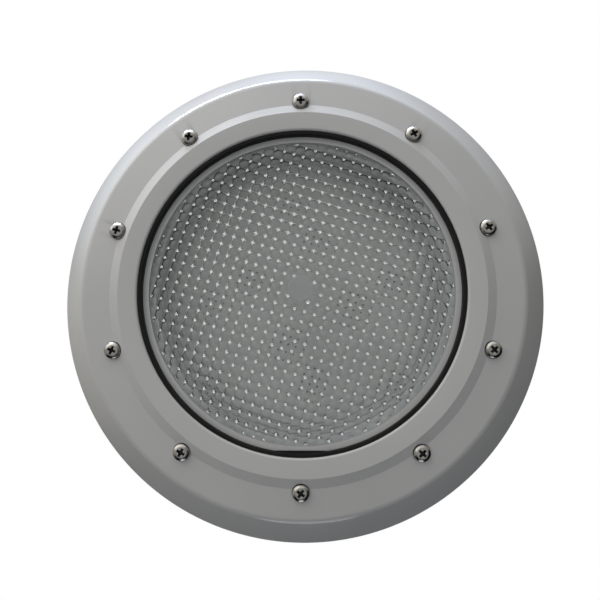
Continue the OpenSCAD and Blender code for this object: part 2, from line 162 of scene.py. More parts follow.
def prism(outline, low, high, edge=0.0):
    """An upright prism over a plan outline."""
    bm = bmesh.new()
    face = bm.faces.new([bm.verts.new((p[0], p[1], low)) for p in outline])
    raised = bmesh.ops.extrude_face_region(bm, geom=[face])
    top = [v for v in raised["geom"] if isinstance(v, bmesh.types.BMVert)]
    bmesh.ops.translate(bm, vec=(0, 0, high - low), verts=top)
    if edge:
        bmesh.ops.bevel(bm, geom=bm.edges, offset=edge, segments=2, affect="EDGES", profile=0.5)
    return mesh_of(bm)


def together(parts):
    """Several meshes, or (mesh, matrix) pairs, as one mesh."""
    bm = bmesh.new()
    for part in parts:
        mesh, matrix = part if isinstance(part, tuple) else (part, Matrix.Identity(4))
        start = len(bm.verts)
        bm.from_mesh(mesh)
        bm.verts.ensure_lookup_table()
        bmesh.ops.transform(bm, matrix=matrix, verts=bm.verts[start:])
    mesh = bpy.data.meshes.new("group")
    bm.to_mesh(mesh)
    bm.free()
    return mesh


def shift(x=0.0, y=0.0, z=0.0):
    return Matrix.Translation((x, y, z))


def spun(degrees):
    """A turn about the lamp's axis."""
    return Matrix.Rotation(math.radians(degrees), 4, "Z")


FLIP = Matrix.Rotation(math.radians(180), 4, "X")


def around(count, radius, start=90.0, spin=0.0):
    """Places evenly spaced on a circle, each turned to face outward, with an extra spin per place."""
    return [spun(start + 360 * k / count) @ shift(radius) @ spun(spin * k) for k in range(count)]


def copies(mesh, places):
    return together([(mesh, place) for place in places])


def joined(base, tool, operation):
    """base with tool cut away (DIFFERENCE), added (UNION) or kept where both are (INTERSECT)."""
    body = new_object("body", base)
    other = new_object("tool", tool)
    step = body.modifiers.new("step", "BOOLEAN")
    step.solver = "MANIFOLD"
    step.operation = operation
    step.object = other
    bpy.context.view_layer.update()
    result = bpy.data.meshes.new_from_object(body.evaluated_get(bpy.context.evaluated_depsgraph_get()))
    bpy.data.objects.remove(body)
    bpy.data.objects.remove(other)
    result.materials.clear()
    return result


def cut(base, tool):
    return joined(base, tool, "DIFFERENCE")


def add(base, tool):
    return joined(base, tool, "UNION")


def piece(name, mesh, body, surfaces, nodes=(), sharp=SHARP):
    """A finished piece: turned into the row frame, shaded, given its surfaces and put on its CAD body."""
    mesh.transform(FACE_FRONT)
    mesh.name = name
    mesh.shade_smooth()
    mesh.set_sharp_from_angle(angle=sharp)
    thing = new_object(name, mesh)
    for surface in surfaces if isinstance(surfaces, list) else [surfaces]:
        mesh.materials.append(surface)
    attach(thing, body)
    if nodes:
        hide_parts(*nodes)
    return thing


# ---- Surfaces ----

class Surface:
    """A node material that is built up from noise layers in object space, in metres."""

    def __init__(self, name, colour, roughness, metallic=0.0):
        self.material = bpy.data.materials.new(name)
        self.material.use_nodes = True
        self.tree = self.material.node_tree
        self.shader = self.tree.nodes["Principled BSDF"]
        self.colour = colour
        self.shader.inputs["Base Color"].default_value = (*colour, 1)
        self.shader.inputs["Roughness"].default_value = roughness
        self.shader.inputs["Metallic"].default_value = metallic
        self.place = self.tree.nodes.new("ShaderNodeTexCoord").outputs["Object"]
        self.normal = None

    def noise(self, scale, detail=3.0, stretch=None):
        texture = self.tree.nodes.new("ShaderNodeTexNoise")
        texture.inputs["Scale"].default_value = scale
        texture.inputs["Detail"].default_value = detail
        place = self.place
        if stretch:
            mapping = self.tree.nodes.new("ShaderNodeMapping")
            mapping.inputs["Scale"].default_value = stretch
            self.tree.links.new(place, mapping.inputs["Vector"])
            place = mapping.outputs["Vector"]
        self.tree.links.new(place, texture.inputs["Vector"])
        return texture.outputs["Fac"]

    def ranged(self, value, low, high, source=(0.3, 0.7)):
        node = self.tree.nodes.new("ShaderNodeMapRange")
        node.inputs["From Min"].default_value = source[0]
        node.inputs["From Max"].default_value = source[1]
        node.inputs["To Min"].default_value = low
        node.inputs["To Max"].default_value = high
        self.tree.links.new(value, node.inputs["Value"])
        return node.outputs["Result"]

    def mottle(self, scale, amount, tint=(1.0, 1.0, 1.0)):
        """Colour that drifts between a darker and a lighter tone of the base."""
        mix = self.tree.nodes.new("ShaderNodeMix")
        mix.data_type = "RGBA"
        self.tree.links.new(self.ranged(self.noise(scale), 0, 1), mix.inputs["Factor"])
        dark = [c * (1 - amount) for c in self.colour]
        light = [min(1, c * (1 + amount) * t) for c, t in zip(self.colour, tint)]
        mix.inputs["A"].default_value = (*dark, 1)
        mix.inputs["B"].default_value = (*light, 1)
        self.tree.links.new(mix.outputs["Result"], self.shader.inputs["Base Color"])
        return self

    def smudge(self, scale, low, high, detail=5.0, stretch=None):
        """Roughness that drifts between two values."""
        value = self.ranged(self.noise(scale, detail, stretch), low, high)
        self.tree.links.new(value, self.shader.inputs["Roughness"])
        return self

    def grain(self, scale, height, detail=2.0, stretch=None):
        """Small relief, its height in metres."""
        bump = self.tree.nodes.new("ShaderNodeBump")
        bump.inputs["Distance"].default_value = height
        bump.inputs["Strength"].default_value = 1.0
        self.tree.links.new(self.noise(scale, detail, stretch), bump.inputs["Height"])
        if self.normal:
            self.tree.links.new(self.normal, bump.inputs["Normal"])
        self.normal = bump.outputs["Normal"]
        self.tree.links.new(self.normal, self.shader.inputs["Normal"])
        return self

    def clear(self, ior, shadow_tint):
        """Glass that lets light through to what is behind it."""
        self.shader.inputs["Transmission Weight"].default_value = 1.0
        self.shader.inputs["IOR"].default_value = ior
        path = self.tree.nodes.new("ShaderNodeLightPath")
        through = self.tree.nodes.new("ShaderNodeBsdfTransparent")
        through.inputs["Color"].default_value = (*shadow_tint, 1)
        mix = self.tree.nodes.new("ShaderNodeMixShader")
        self.tree.links.new(path.outputs["Is Shadow Ray"], mix.inputs["Fac"])
        self.tree.links.new(self.shader.outputs["BSDF"], mix.inputs[1])
        self.tree.links.new(through.outputs["BSDF"], mix.inputs[2])
        self.tree.links.new(mix.outputs["Shader"], self.tree.nodes["Material Output"].inputs["Surface"])
        return self


def trim_abs():
    s = Surface("trim_abs", (0.50, 0.505, 0.51), 0.2)
    return s.mottle(9, 0.03).smudge(40, 0.1, 0.18).grain(900, 0.000012).grain(60, 0.00005).material


def housing_abs():
    s = Surface("housing_abs", (0.46, 0.47, 0.475), 0.4)
    return s.mottle(14, 0.05).smudge(60, 0.36, 0.5).grain(1500, 0.00002).material


def lens_clear():
    s = Surface("lens_clear", (0.93, 0.95, 0.955), 0.04)
    return s.smudge(50, 0.02, 0.07).grain(120, 0.00002).clear(1.585, (0.88, 0.89, 0.895)).material


def rubber(name):
    s = Surface(name, (0.006, 0.006, 0.0065), 0.5)
    s.shader.inputs["Specular IOR Level"].default_value = 0.2
    return s.mottle(60, 0.3).smudge(120, 0.42, 0.62).grain(2200, 0.00003).material


def stainless():
    s = Surface("stainless", (0.38, 0.37, 0.35), 0.24, metallic=1.0)
    return s.mottle(300, 0.15).smudge(700, 0.16, 0.3).grain(1800, 0.00001).material


def screw_recess_painted_shade():
    # Painted shade: a near-black surface for the screws' cross recesses, standing in for the shade that falls
    # inside them.
    s = Surface("screw_recess_painted_shade", (0.035, 0.034, 0.032), 0.5)
    return s.mottle(400, 0.3).smudge(900, 0.4, 0.6).grain(2000, 0.00001).material


def brass():
    s = Surface("brass", (0.72, 0.52, 0.22), 0.3, metallic=1.0)
    return s.mottle(220, 0.12, (1.0, 0.96, 0.9)).smudge(500, 0.22, 0.4).grain(1600, 0.00001).material


def aluminium():
    s = Surface("aluminium", (0.75, 0.76, 0.77), 0.35, metallic=1.0)
    return s.mottle(90, 0.06).smudge(260, 0.28, 0.45, stretch=(1, 8, 1)).grain(900, 0.00002).material


def moulded(name, colour, low, high, scale=1200, height=0.00002):
    s = Surface(name, colour, low)
    return s.mottle(30, 0.06).smudge(90, low, high).grain(scale, height).material


TRIM = trim_abs()
HOUSING = housing_abs()
LENS = lens_clear()
LENS_RIM = moulded("lens_frost", (0.52, 0.53, 0.535), 0.25, 0.4, 900, 0.00001)
LENS_RUBBER = rubber("lens_rubber")
SEAL_RUBBER = rubber("seal_rubber")
STEEL = stainless()
# Painted shade for the inside of the screws' cross recesses.
RECESS_PAINTED_SHADE = screw_recess_painted_shade()
BRASS = brass()
ALLOY = aluminium()
NYLON = moulded("black_nylon", (0.02, 0.02, 0.021), 0.3, 0.45)
WHITE = moulded("lamp_white", (0.5, 0.51, 0.52), 0.3, 0.42)
BOARD = moulded("board_white", (0.46, 0.465, 0.465), 0.3, 0.5, 800, 0.00001)
PHOSPHOR = moulded("led_phosphor", (0.62, 0.6, 0.36), 0.3, 0.45)
CHIP = moulded("chip_epoxy", (0.015, 0.015, 0.016), 0.4, 0.6, 2500)
GREEN = moulded("board_green", (0.02, 0.12, 0.05), 0.25, 0.4, 700)
SLEEVE = moulded("capacitor_sleeve", (0.02, 0.03, 0.12), 0.2, 0.35, 500)
FERRITE = moulded("ferrite", (0.05, 0.05, 0.055), 0.5, 0.7, 1500)
WIRE = moulded("winding_copper", (0.55, 0.2, 0.07), 0.25, 0.4, 900)
RED_WIRE = moulded("lead_red", (0.45, 0.03, 0.02), 0.3, 0.45, 900)
GREY_WIRE = moulded("lead_grey", (0.06, 0.06, 0.065), 0.35, 0.5, 900)

# ---- Trim ring and its screws ----

ring_r, ring_back, ring_front = reach("trim_ring")
land = ring_front - 3.7
shoulder_r = ring_r - 15.2
ramp_foot_r = 107.8
ramp_top_r = 102.2
lip_r = 90.3
lip_back = land + 0.4
mouth_r = 91.3
bead_back = land + 2.25
recess_r = 95.4
wall_r = 98.4
screw_count = 10
screw_circle = 109.7
seat = land - 0.6
clamp_circle = 100.2
clamp_back = 12.1
clamp_places = around(5, clamp_circle, 108)
trim_places = around(screw_count, screw_circle)


def trim_ring():
    """The turned ring with its screw bosses behind, and the holes for its own screws and the clamp's."""
    outline = rounded([
        (ring_r, ring_back, 0.1), (shoulder_r, land - 3.35, 6.8), (ramp_foot_r, land, 1.0),
        (ramp_top_r, land + 3.1, 0.7), (mouth_r, land + 3.7, 1.35), (mouth_r, bead_back), (lip_r, bead_back),
        (lip_r, lip_back, 0.3), (recess_r, lip_back), (recess_r, clamp_back), (wall_r, clamp_back, 0.5),
        (wall_r, land - 1, 1.0), (ramp_foot_r - 1.5, land - 3.5, 1.0), (shoulder_r - 2.6, land - 6, 3.0),
        (ring_r - 3.5, ring_back, 0.3)], 10)
    body = lathe(outline, RING_STEPS)
    bosses = copies(rod(5.5, 14.2, land - 1.5, 0.3), trim_places)
    clamp_bosses = copies(rod(3.3, clamp_back + 0.2, land - 0.4, 0.3), clamp_places)
    body = add(add(body, bosses), clamp_bosses)
    hole_r = 2.75
    seat_r = 5.1
    low = 10
    high = land + 6
    hole = rounded([(0, low), (hole_r, low), (hole_r, seat, 0.2), (seat_r, seat), (seat_r, high),
                    (0, high)], 3)
    clamp_hole = [(0, low), (1.5, low), (1.5, 17.1), (0, 17.8)]
    body = cut(body, copies(lathe(hole, 96), trim_places))
    body = cut(body, copies(lathe(clamp_hole, SMALL_STEPS), clamp_places))
    piece("trim_moulding", body, "light_unit", TRIM, ["trim_ring"])


def cross_cutter(width, thickness, depth, top):
    """A Phillips bit's tip: two crossed wings that narrow towards the point."""
    wings = []
    for turn in (0, 90):
        bm = bmesh.new()
        bmesh.ops.create_cube(bm, size=1)
        for v in bm.verts:
            upper = v.co.z > 0
            v.co.x = math.copysign(width / 2 * (1.15 if upper else 0.6), v.co.x)
            v.co.y = math.copysign(thickness / 2 * (1.15 if upper else 0.9), v.co.y)
            v.co.z = top + depth * 0.3 if upper else top - depth
        wings.append((mesh_of(bm), spun(turn)))
    first, second = (together([wing]) for wing in wings)
    tip = top - depth * 1.25
    high = top + 0.3
    point = lathe([(0, tip), (width * 0.2, top - depth * 0.7), (width * 0.3, high), (0, high)], SMALL_STEPS)
    return add(add(first, second), point)


def pan_screw(head_r, head_h, shank_r, shank_l, tip=0.8):
    """A pan-head screw, its seat at height 0 and its shank downwards."""
    pitch = shank_r * 0.42
    turns = int((shank_l - tip - 1.5) / pitch)
    thread = []
    for k in range(turns):
        low = -shank_l + tip + k * pitch
        thread += [(shank_r * 0.82, low), (shank_r, low + pitch * 0.35), (shank_r, low + pitch * 0.5)]
    outline = [(0, -shank_l), (shank_r * 0.55, -shank_l)] + thread
    outline += [(shank_r * 0.9, -1.2), (shank_r * 0.9, 0)]
    crown = rounded([(head_r, 0, 0.12 * head_h), (head_r, head_h * 0.55, head_h * 0.5),
                     (head_r * 0.62, head_h, head_r * 0.5), (0, head_h)], 6)
    body = lathe(outline + crown, SMALL_STEPS)
    return cut(body, cross_cutter(head_r * 0.98, head_r * 0.28, head_h * 0.95, head_h))


def trim_screws():
    """Ten screws, each turned by an amount of its own, their cross recesses painted near-black as shade."""
    head_r = 4.75
    head_h = reach("trim_screws")[2] - seat
    turn_step = 47
    places = around(screw_count, screw_circle, 90, turn_step)
    screw = pan_screw(head_r, head_h, 2.4, 15)
    body = copies(screw, [place @ shift(z=seat) for place in places])
    axes = [place.to_translation() for place in places]
    # Faces inside the head's cross recess get the painted shade surface, and the rest stay steel.
    for polygon in body.polygons:
        off_axis = min(math.hypot(polygon.center.x - axis.x, polygon.center.y - axis.y) for axis in axes)
        inside_head = seat - 1 < polygon.center.z < seat + head_h - 0.3
        polygon.material_index = 1 if inside_head and off_axis < head_r * 0.6 else 0
    piece("trim_screw_set", body, "light_unit", [STEEL, RECESS_PAINTED_SHADE], ["trim_screws"])


# ---- Lens and its gasket ----

lens_edge, lens_back, lens_front = reach("lamp_lens")
lens_r = 89.0
lens_face = 19.4
crown = lens_front - 0.5
lens_wall = 2.6
dome_r = (lens_r ** 2 + (crown - lens_face) ** 2) / (2 * (crown - lens_face))
dome_centre = crown - dome_r
gate_r = 6.8
lenslet_pitch = 5.7
lenslet_turn = math.radians(-18)
lenslet_round = 5.0
lenslet_reach = 85.0
frosted_from = 86.4


def lens_shell():
    """The smooth dome with its rim and the gate disc at its middle."""
    rim_turn = math.degrees(math.asin(lens_r / dome_r))
    gate_turn = math.degrees(math.asin((gate_r + 0.5) / dome_r))
    outer = arc((0, dome_centre), dome_r, 90 - rim_turn, 90 - gate_turn, 24)
    inner = arc((0, dome_centre), dome_r - lens_wall, 90, 90 - rim_turn, 24)
    gate = [(gate_r, crown + 0.1), (gate_r - 0.7, lens_front - 0.05)]
    gate += [(gate_r - 1.6, lens_front), (0, lens_front)]
    rim = rounded([(lens_edge, lens_back, 0.2), (lens_edge, lens_face, 0.4), (lens_r + 0.5, lens_face)])
    return lathe([(p[0], p[1]) for p in rim] + outer + gate + inner, 360)


def lenslets():
    """Square pillows on the inner face, in rows that fall to the right."""
    per_cell = 9
    half_cells = int(lenslet_reach / lenslet_pitch) + 1
    count = 2 * half_cells * per_cell
    side = np.linspace(-half_cells, half_cells, count + 1) * lenslet_pitch
    u, v = np.meshgrid(side, side, indexing="ij")
    cell_u = u / lenslet_pitch - np.floor(u / lenslet_pitch) - 0.5
    cell_v = v / lenslet_pitch - np.floor(v / lenslet_pitch) - 0.5
    cell_u = np.where(np.isclose(np.abs(cell_u), 0.5), 0.5, cell_u)
    cell_v = np.where(np.isclose(np.abs(cell_v), 0.5), 0.5, cell_v)
    from_middle = (cell_u ** 2 + cell_v ** 2) * lenslet_pitch ** 2
    corner_height = math.sqrt(lenslet_round ** 2 - lenslet_pitch ** 2 / 2)
    depth = lenslet_round - corner_height
    sag = np.sqrt(lenslet_round ** 2 - from_middle) - corner_height
    c, s = math.cos(lenslet_turn), math.sin(lenslet_turn)
    x, y = u * c - v * s, u * s + v * c
    under = dome_centre + np.sqrt((dome_r - lens_wall) ** 2 - x ** 2 - y ** 2)
    bite = 0.02
    skin = 1.2
    back = np.stack([x, y, under + bite - (depth - sag)], axis=-1).reshape(-1, 3)
    front = np.stack([x, y, under + skin], axis=-1).reshape(-1, 3)
    n = count + 1
    i, j = np.meshgrid(np.arange(count), np.arange(count), indexing="ij")
    first = (i * n + j).ravel()
    quads = np.stack([first, first + 1, first + n + 1, first + n], axis=-1).tolist()
    faces = [tuple(q) for q in quads]
    faces += [tuple(k + n * n for k in reversed(q)) for q in quads]
    rim = list(range(n)) + [k * n + n - 1 for k in range(1, n)]
    rim += [(n - 1) * n + k for k in range(n - 2, -1, -1)] + [k * n for k in range(n - 2, 0, -1)]
    for k, here in enumerate(rim):
        there = rim[(k + 1) % len(rim)]
        faces.append((there, here, here + n * n, there + n * n))
    mesh = bpy.data.meshes.new("lenslets")
    mesh.from_pydata(np.concatenate([back, front]).tolist(), [], faces)
    bm = bmesh.new()
    bm.from_mesh(mesh)
    return mesh_of(bm)


def lamp_lens():
    """The dome with its lenslets, clear but for a frosted outer rim."""
    slab = joined(lenslets(), rod(lenslet_reach, 0, 40, steps=360), "INTERSECT")
    slab = cut(slab, rod(gate_r, 0, 40, steps=96))
    body = add(lens_shell(), slab)
    for polygon in body.polygons:
        at_rim = math.hypot(polygon.center.x, polygon.center.y) > frosted_from
        polygon.material_index = 1 if at_rim and polygon.center.z > lens_face - 0.5 else 0
    surfaces = [LENS, LENS_RIM]
    piece("lens_moulding", body, "light_unit", surfaces, ["lamp_lens"], math.radians(25))


def lens_gasket():
    """The black ring round the lens's edge, its front lip in the ring's mouth and a tab at the bottom."""
    outer, back, front = reach("lens_gasket")
    lip_front = front + 0.45
    bead_r = mouth_r - 0.05
    bead_low = bead_back + 0.03
    neck_r = lip_r - 0.1
    ledge_front = lip_back - 0.05
    groove_back = 14
    rear_r = 87
    body = lathe(rounded([
        (lens_r, lens_face), (lens_r, lip_front, 0.5), (bead_r, lip_front, 0.1), (bead_r, bead_low),
        (neck_r, bead_low), (neck_r, ledge_front), (outer, ledge_front), (outer, back), (rear_r, back, 0.3),
        (rear_r, groove_back, 0.3), (lens_edge, groove_back), (lens_edge, lens_face)], 4), RING_STEPS)
    tab_inner = lens_r - 1.4
    tab_outer = lens_r + 0.8
    tab_back = lens_face + 0.3
    tab_top = lens_r - 1.2
    tab = lathe(rounded([(tab_inner, tab_back, 0.2), (tab_inner, ledge_front, 0.4), (tab_outer, ledge_front),
                         (tab_outer, tab_back)], 4), RING_STEPS)
    tab = joined(tab, block((40, 12, 30), (0, -tab_top - 6, 15)), "INTERSECT")
    piece("lens_seal", add(body, tab), "light_unit", LENS_RUBBER, ["lens_gasket"])


trim_ring()
trim_screws()
lamp_lens()
lens_gasket()

# ---- Inside the lamp ----

leg_pitch = 1.27
led_rings = 3
led_pitch = 22
board_r, board_back, board_front = reach("led_board")
ledge = board_back - 3.5
board_screw_circle = 76.6
lead_places = around(2, 11, 0)


def board_places(count, radius, start):
    """Places on a circle on the board's front face."""
    return [place @ shift(z=board_front) for place in around(count, radius, start)]


def led_places():
    """Rings of places, the number in each growing outwards."""
    places = []
    for k in range(1, led_rings + 1):
        places += board_places(6 * k, led_pitch * k - 2, 90 + 15 * k)
    return places


def led_board():
    """The white panel with holes for its screws and the two leads."""
    low = board_back - 5
    high = board_back + 15
    body = rod(board_r, board_back, board_front, 0.15, 256)
    body = cut(body, copies(rod(1.6, low, high, steps=32), around(4, board_screw_circle, 45)))
    body = cut(body, copies(rod(1.0, low, high, steps=32), lead_places))
    piece("board_panel", body, "light_unit", BOARD, ["led_board"])


def leds():
    """Square white packages, each with a round window and three feet on two sides."""
    size = 5.0
    tall = 1.1
    cavity = lathe([(0, tall - 0.45), (1.6, tall - 0.45), (2.0, tall + 0.1), (0, tall + 0.1)], 32)
    body = cut(block((size, size, tall - 0.1), (0, 0, tall / 2 + 0.05), 0.12), cavity)
    window = lathe([(0, tall - 0.46), (1.62, tall - 0.46), (1.86, tall - 0.14), (1.0, tall - 0.06),
                    (0, tall - 0.04)], 32)
    foot = block((0.5, 0.9, 0.35), (0, 0, 0.17), 0.06)
    foot_out = size / 2 + 0.15
    feet = copies(foot, [shift(side * foot_out, row * 1.6) for side in (-1, 1) for row in (-1, 0, 1)])
    piece("led_packages", copies(body, led_places()), "light_unit", WHITE)
    piece("led_windows", copies(window, led_places()), "light_unit", PHOSPHOR, ["led_chips"])
    piece("led_feet", copies(feet, led_places()), "light_unit", ALLOY)


def regulators():
    """Small black packages with their legs."""
    places = board_places(4, led_pitch * 1.4, 75) + board_places(4, led_pitch * 2.4, 97)
    body = block((4.5, 3.9, 1.4), (0, 0, 0.85), 0.15)
    leg = block((0.9, 0.4, 0.25), (0, 0, 0.13), 0.05)
    rows = [leg_pitch * (k - 1.5) for k in range(4)]
    legs = copies(leg, [spun(90) @ shift(side * 2.3, row) for side in (-1, 1) for row in rows])
    packages = copies(body, places)
    piece("regulator_packages", packages, "light_unit", CHIP, ["current_regulators"])
    piece("regulator_legs", copies(legs, places), "light_unit", ALLOY)


def board_screws():
    screw = pan_screw(2.75, 2.0, 1.45, 9)
    places = board_places(4, board_screw_circle, 45)
    piece("board_screw_set", copies(screw, places), "light_unit", STEEL, ["board_screws"])


def lamp_shell():
    """The white lamp body: its rim, bowl, board ledge and neck."""
    wall = 2.4
    depth = 66.0
    neck = 37.0
    neck_end = -74
    bore = 30.0
    foot_r = 34
    spread = 49
    steps = 24
    turns = [math.pi / 2 * k / steps for k in range(steps)]
    outer = [(foot_r + spread * math.cos(a), -depth * math.sin(a)) for a in turns]
    inner = [(r - wall, h + wall * k / steps) for k, (r, h) in enumerate(outer)]
    upper = [p for p in inner if p[1] > ledge + 0.5]
    lower = [p for p in inner if p[1] < ledge - 6]
    ledge_r = 73
    profile = rounded([(lens_edge, 16.6, 0.2), (lens_edge, 14, 0.3), (84.4, 14, 0.5)], 3)
    profile = [tuple(p) for p in profile] + outer
    profile += [(neck, -depth + 1.5), (neck, neck_end), (bore, neck_end), (bore, -depth + 3)]
    profile += lower[::-1] + [(ledge_r, ledge - 5), (ledge_r, ledge), (upper[-1][0], ledge)] + upper[::-1]
    profile += [(82, 15.2), (86, 15.2), (86, 16.6)]
    piece("lamp_body", lathe(profile, 360), "light_unit", WHITE, ["lamp_shell"])


led_board()
leds()
regulators()
board_screws()
lamp_shell()

# ---- Behind the lamp's board ----

driver_front = -22.0
driver_back = driver_front - 1.6
driver_corners = [shift(sx * 27, sy * 18) for sx in (-1, 1) for sy in (-1, 1)]


def facing_back(places, height):
    """The same places at a height, turned over so that what stands on them points backwards."""
    return [place @ shift(z=height) @ FLIP for place in places]


def screw_set(name, node, sizes, places, surface=None):
    """Copies of one pan-head screw, its sizes given as head radius and height, shank radius and length."""
    piece(name, copies(pan_screw(*sizes), places), "light_unit", surface or STEEL, [node])


def heat_spreader():
    """A disc with short fins behind it."""
    disc = rod(reach("heat_spreader")[0], ledge, board_back, 0.3, 256)
    fin = block((26, 2, 14.5), (55, 0, ledge - 6.75), 0.3)
    body = add(disc, copies(fin, [spun(30 * k + 15) for k in range(12)]))
    body = cut(body, copies(rod(1.6, ledge - 1, board_back + 1, steps=32), around(4, board_screw_circle, 45)))
    body = cut(body, copies(rod(2.0, ledge - 1, board_back + 1, steps=32), lead_places))
    piece("spreader_disc", body, "light_unit", ALLOY, ["heat_spreader"])


def clamp_ring():
    """The hoop that holds the lamp in the trim ring, its five screws sunk from behind."""
    outer, back, front = reach("clamp_ring")
    inner = 85.4
    low = back - 1
    high = front + 1
    seat_back = back + 1.6
    hoop = rounded([(inner, back, 0.4), (outer, back, 0.5), (outer, front, 0.4), (inner, front, 0.3)])
    hole = [(0, low), (3.1, low), (3.1, seat_back), (1.5, seat_back), (1.5, high), (0, high)]
    body = cut(lathe(hoop, 288), copies(lathe(hole, SMALL_STEPS), clamp_places))
    piece("clamp_hoop", body, "light_unit", NYLON, ["clamp_ring"])
    screw_set("clamp_screw_set", "clamp_screws", (2.9, 1.5, 1.45, 6), facing_back(clamp_places, seat_back))


def driver_board():
    """The driver's circuit board on its four spacers."""
    body = block((64, 46, 1.6), (0, 0, (driver_front + driver_back) / 2), 0.15)
    body = cut(body, copies(rod(1.4, driver_back - 1, driver_front + 1, steps=32), driver_corners))
    body = cut(body, copies(rod(1.0, driver_back - 1, driver_front + 1, steps=32), lead_places))
    piece("driver_panel", body, "light_unit", GREEN, ["driver_board"])
    spacer = cut(rod(3.0, driver_front, ledge, 0.3), rod(1.3, driver_front - 1, driver_front + 8, steps=32))
    piece("spacer_set", copies(spacer, driver_corners), "light_unit", BRASS, ["driver_spacers"])
    places = facing_back(driver_corners, driver_back)
    screw_set("driver_screw_set", "driver_screws", (2.4, 1.8, 1.25, 7), places)


def capacitors():
    """Two cans with a crimped foot and a scored top."""
    can_r = 6
    top = driver_back - 19
    bead = top - 0.6
    can = lathe(rounded([
        (0, top - 0.35), (4.2, top - 0.35, 0.2), (4.5, bead, 0.2), (5.2, bead, 0.4), (can_r, top + 0.6, 0.5),
        (can_r, driver_back - 3.2, 0.4), (5.4, driver_back - 2.5, 0.4), (can_r, driver_back - 1.8, 0.4),
        (can_r, driver_back, 0.2), (0, driver_back)], 3), 64)
    can = cut(can, block((7, 0.4, 0.3), (0, 0, top - 0.35)))
    cans = copies(can, [shift(-21, side * 8) for side in (-1, 1)])
    piece("capacitor_cans", cans, "light_unit", SLEEVE, ["filter_capacitors"])


def inductor():
    """A drum core with a winding of round wire in its waist."""
    centre = (22, 0)
    core_r = 7.5
    waist_r = 4
    foot = driver_back - 11
    core = lathe(rounded([
        (0, foot), (core_r, foot, 0.4), (core_r, foot + 2, 0.3), (waist_r, foot + 2),
        (waist_r, driver_back - 2), (core_r, driver_back - 2, 0.3), (core_r, driver_back, 0.4),
        (0, driver_back)], 3), 64, centre)
    piece("inductor_core", core, "light_unit", FERRITE, ["power_inductor"])
    wire = 0.35
    turns = 9
    outline = [(waist_r + 0.1, foot + 2.1)]
    for k in range(turns):
        middle = foot + 2.5 + k * 2 * wire
        outline += arc((6.4, middle), wire, -80, 80, 6)
    outline.append((waist_r + 0.1, outline[-1][1] + 0.1))
    piece("inductor_winding", lathe(outline, 64, centre), "light_unit", WIRE)


def driver_chips():
    rectifier = block((14, 6, 5), (0, 16, driver_back - 2.5), 0.4)
    piece("rectifier_block", rectifier, "light_unit", CHIP, ["bridge_rectifier"])
    body = block((6, 4.2, 1.6), (0, 0, -1.0), 0.15)
    leg = block((0.45, 0.9, 0.3), (0, 0, -0.15), 0.05)
    legs = copies(leg, [shift(-1.9 + leg_pitch * k, side * 2.2) for k in range(4) for side in (-1, 1)])
    places = [shift(x, -14.5, driver_back) for x in (-5, 4)]
    piece("driver_packages", copies(body, places), "light_unit", CHIP, ["driver_chips"])
    piece("driver_package_legs", copies(legs, places), "light_unit", ALLOY)


def leads():
    """Insulated wires with bare ends."""
    low = driver_front + 0.05
    red = rod(0.9, low, board_front, 0.2, 32)
    tip = rod(0.5, board_front - 0.2, board_front + 0.4, 0.15, 24)
    grey = rod(0.9, cap_front + 3.1, driver_front, 0.2, 32)
    piece("board_wires", copies(red, lead_places), "light_unit", RED_WIRE, ["board_leads"])
    piece("board_wire_ends", copies(tip, lead_places), "light_unit", WIRE)
    piece("supply_wires", copies(grey, lead_places), "light_unit", GREY_WIRE, ["supply_leads"])


cap_back = -78.8
cap_front = -74.8
neck_back = -74.0
post_back = cap_back - 7


def rear_cap():
    """The cap that closes the lamp's neck, with its seal, its screws and the two terminals."""
    places = around(3, 41)
    plug = cap_front + 3
    body = lathe(rounded([(0, cap_back), (37, cap_back, 0.6), (37, cap_front, 0.2), (29.7, cap_front),
                          (29.7, plug, 0.5), (0, plug)]), 192)
    body = add(body, copies(rod(4.5, cap_back, cap_front, 0.4), places))
    body = cut(body, copies(rod(1.6, cap_back - 1, cap_front + 1, steps=32), places))
    body = cut(body, copies(rod(2.5, cap_back - 1, plug + 1, steps=32), lead_places))
    piece("cap_disc", body, "light_unit", NYLON, ["rear_cap"])
    seal = lathe(rounded([(30.2, cap_front, 0.25), (36.5, cap_front, 0.25), (36.5, neck_back, 0.25),
                          (30.2, neck_back, 0.25)], 3), 192)
    piece("cap_ring_seal", seal, "light_unit", SEAL_RUBBER, ["cap_seal"])
    screw_set("cap_screw_set", "cap_screws", (2.9, 2.2, 1.45, 10), facing_back(places, cap_back))
    post = lathe(rounded([
        (0, plug), (2.45, plug, 0.2), (2.45, cap_back), (4.5, cap_back, 0.3), (4.5, post_back, 0.4),
        (2, post_back, 0.2), (2, post_back + 6), (0, post_back + 6)], 3), 64)
    piece("post_pair", copies(post, lead_places), "light_unit", BRASS, ["terminal_posts"])
    washer = lathe(rounded([(2.1, post_back, 0.1), (5, post_back, 0.3), (5, post_back - 1, 0.3),
                            (2.1, post_back - 1, 0.1)], 3), 64)
    washers = copies(washer, lead_places)
    piece("terminal_washer_pair", washers, "light_unit", BRASS, ["terminal_washers"])
    places = facing_back(lead_places, post_back - 1)
    screw_set("terminal_screw_pair", "terminal_screws", (4, 2.6, 1.9, 6), places, BRASS)


heat_spreader()
clamp_ring()
driver_board()
capacitors()
inductor()
driver_chips()
leads()
rear_cap()

# ---- Wall housing ----

housing_r, housing_back, boss_top = reach("rear_housing")
flange_front = 7.5
flange_back = 1.5
floor_front = housing_back + 4
pot_r = 91.5
collar_r = 94.5
fixing_places = around(4, 120, 45)
gland_place = shift(0, 60)


